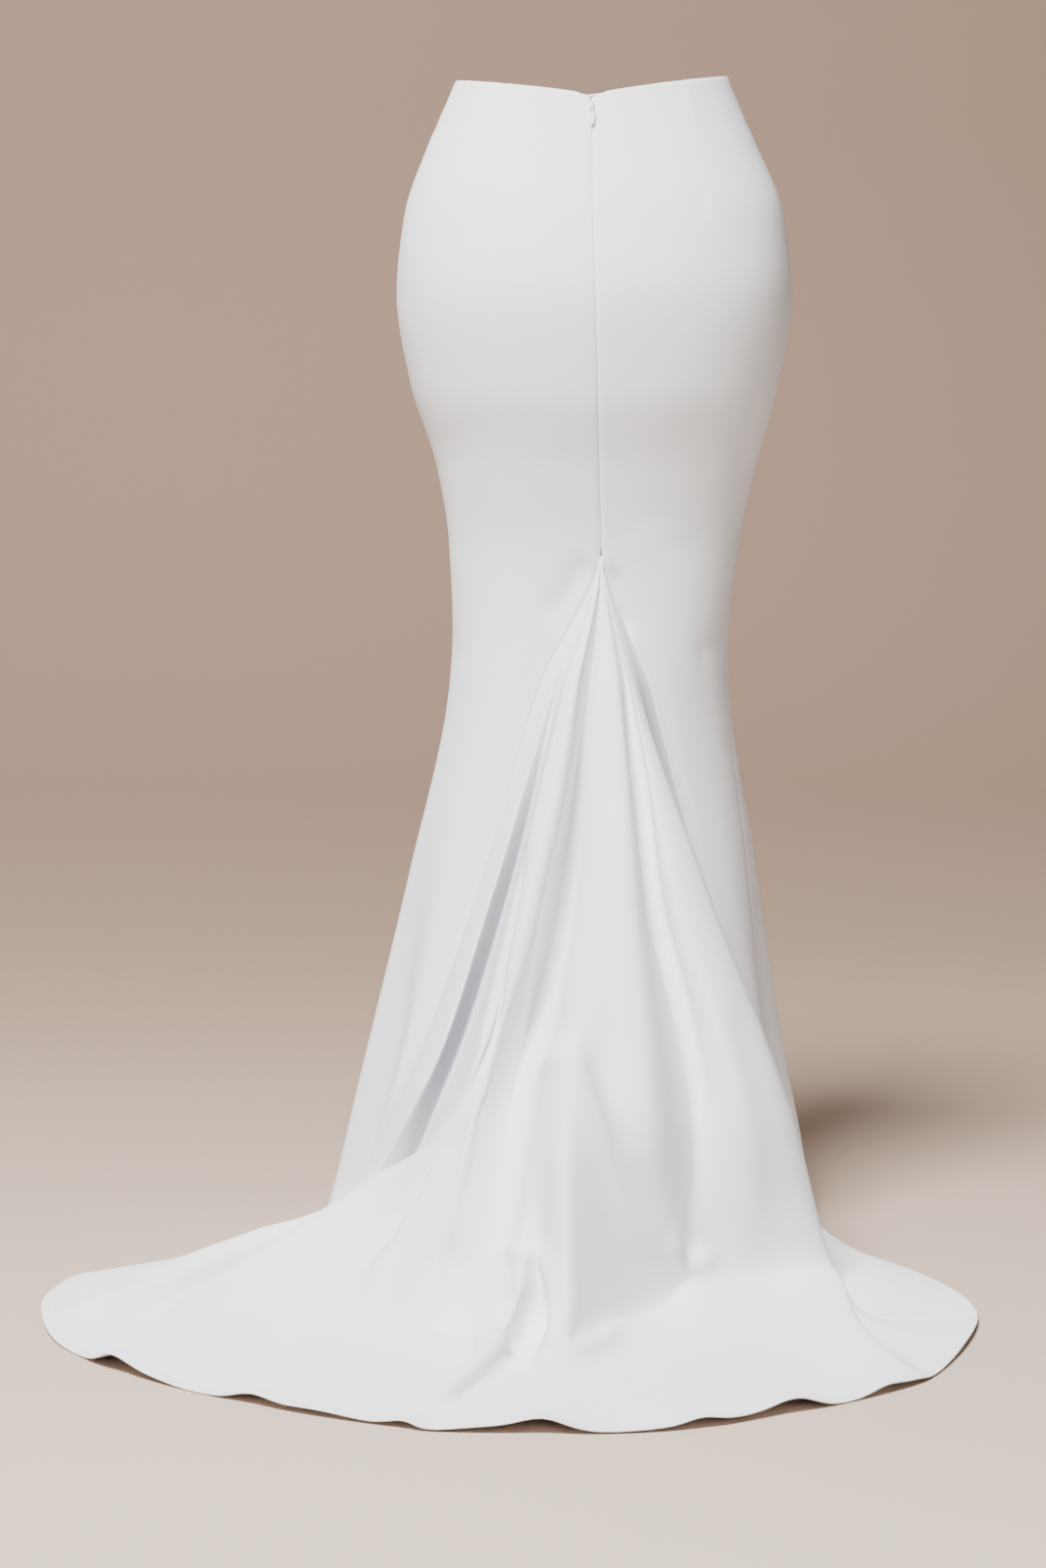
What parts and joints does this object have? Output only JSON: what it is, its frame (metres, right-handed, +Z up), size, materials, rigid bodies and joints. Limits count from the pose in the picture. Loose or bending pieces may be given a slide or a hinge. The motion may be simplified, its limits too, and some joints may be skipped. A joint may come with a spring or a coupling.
{
  "type": "mermaid skirt",
  "caption": "Floor-length mermaid skirt in ivory satin, shaped as worn, with a flared back godet forming a train and a concealed back zip.",
  "frame": {"origin": "centre of the waist opening, where the wearer holds the skirt up", "axes": "+Z up, -Y towards the back with the zip and the train, +X towards the wearer's right side"},
  "size_m": [0.8157, 0.8818, 1.0782],
  "materials": {
    "satin": "soft sheen",
    "zip_tape": "matte",
    "zip_metal": "satin"
  },
  "bodies": {
    "skirt": {"front": "satin", "back_left": "satin", "back_right": "satin", "godet": "satin", "waist_facing": "satin", "zip_tape": "zip_tape", "zip_slider": "zip_metal"},
    "zip_pull": {"zip_pull": "zip_metal"}
  },
  "joints": [
    {"name": "pull_swing", "type": "hinge", "parent": "skirt", "child": "zip_pull", "pos_m": [-0.00052, -0.09812, -0.01844], "axis": [-1, 0, 0], "range_deg": [0, 140]}
  ]
}
